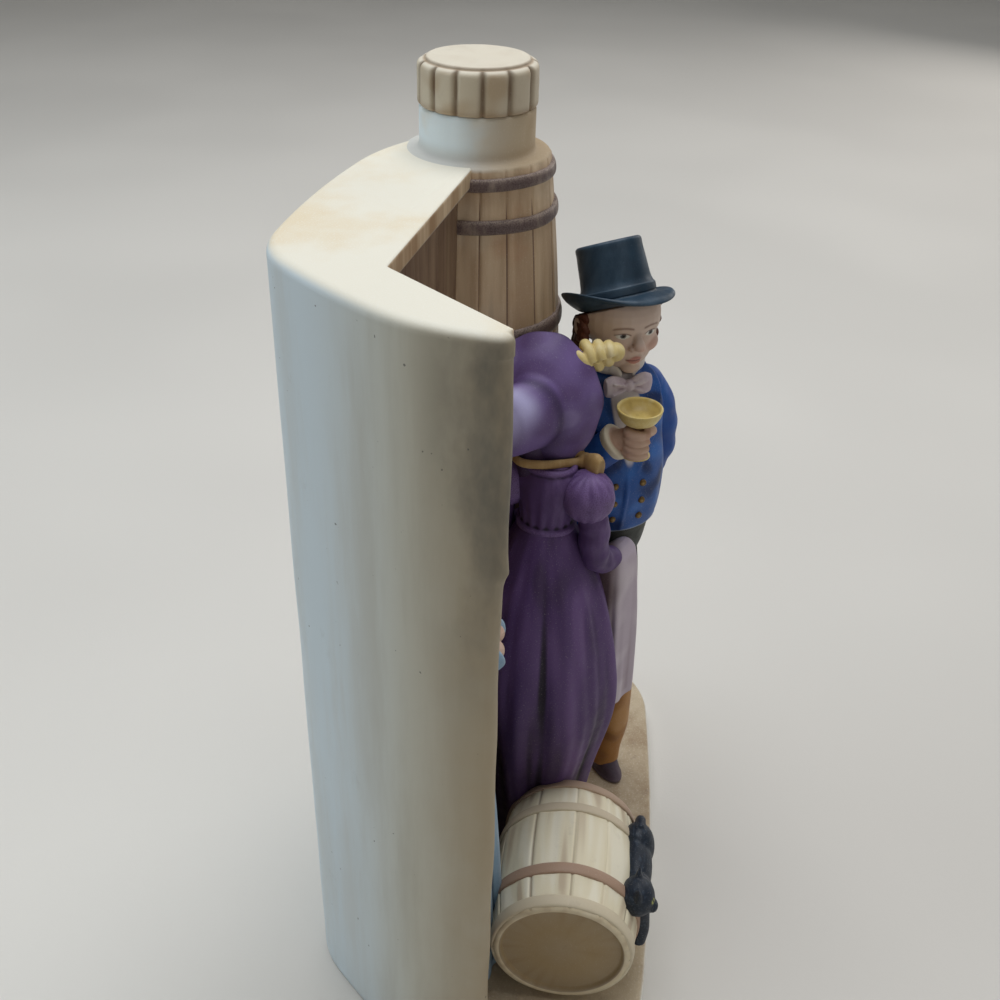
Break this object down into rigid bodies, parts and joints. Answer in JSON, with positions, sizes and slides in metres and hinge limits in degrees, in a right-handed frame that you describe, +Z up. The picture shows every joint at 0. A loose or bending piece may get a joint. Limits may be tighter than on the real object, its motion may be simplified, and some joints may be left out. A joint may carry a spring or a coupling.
{
  "type": "figural liquor decanter",
  "caption": "Figural porcelain decanter: a hollow angled tavern wall and upright cask carry a corked neck, with standing figures and a small cask on a low base.",
  "frame": {"origin": "middle of the base's bounding box, on the surface that it stands on", "axes": "+Z up, the figures' side faces -Y, +X to the right seen from the front"},
  "size_m": [0.1951, 0.1086, 0.2694],
  "materials": {
    "auburn": "bisque porcelain painted red-brown",
    "bisque": "unglazed bisque porcelain, white to cream with tan stain",
    "cask_wood": "bisque porcelain painted as tan cask staves",
    "coat_blue": "bisque porcelain painted cobalt blue",
    "cork": "agglomerated cork",
    "cream": "bisque porcelain painted cream with brown seams",
    "flesh": "bisque porcelain painted pale flesh",
    "gold_yellow": "bisque porcelain painted pale gold",
    "ground": "bisque porcelain ground, cream with tan stain",
    "hair_yellow": "bisque porcelain painted pale yellow",
    "hoop_brown": "bisque porcelain painted dark purple-brown",
    "hoop_pink": "bisque porcelain painted pinkish brown",
    "navy_black": "bisque porcelain painted blue-black",
    "orange_brown": "bisque porcelain painted orange-brown",
    "purple": "bisque porcelain painted purple",
    "ribbon_tan": "bisque porcelain painted tan gold",
    "steel_blue": "bisque porcelain painted light steel blue",
    "white_lilac": "bisque porcelain painted white with a lilac wash"
  },
  "bodies": {
    "decanter": {"cask_hoops": "hoop_brown", "cask_neck": "bisque", "cask_shell": "cask_wood", "cat": "navy_black", "goblet": "gold_yellow", "lady_bodice": "purple", "lady_bonnet": "purple", "lady_head": "flesh", "lady_left_hand": "flesh", "lady_left_puff": "purple", "lady_left_sleeve": "purple", "lady_ribbon": "ribbon_tan", "lady_right_hand": "flesh", "lady_right_puff": "purple", "lady_right_sleeve": "purple", "lady_ringlets": "hair_yellow", "lady_skirt": "purple", "maid_bodice": "steel_blue", "maid_cap": "bisque", "maid_hands": "flesh", "maid_head": "flesh", "maid_left_sleeve": "steel_blue", "maid_right_sleeve": "steel_blue", "maid_skirt": "steel_blue", "man_bow_tie": "white_lilac", "man_coat": "coat_blue", "man_collar": "white_lilac", "man_hair": "auburn", "man_hat": "navy_black", "man_head": "flesh", "man_left_arm": "coat_blue", "man_left_hand": "flesh", "man_right_arm": "coat_blue", "man_right_hand": "flesh", "man_shoes": "navy_black", "man_trousers": "orange_brown", "man_waistcoat": "navy_black", "plinth": "ground", "small_cask": "cream", "small_cask_hoops": "hoop_pink", "towel": "white_lilac", "wall_shell": "bisque"},
    "stopper": {"stopper_cap": "cream", "stopper_cork": "cork"}
  },
  "joints": [
    {"name": "stopper_lift", "type": "slide", "parent": "decanter", "child": "stopper", "axis": [0, 0, 1], "range_m": [0, 0.04]}
  ]
}
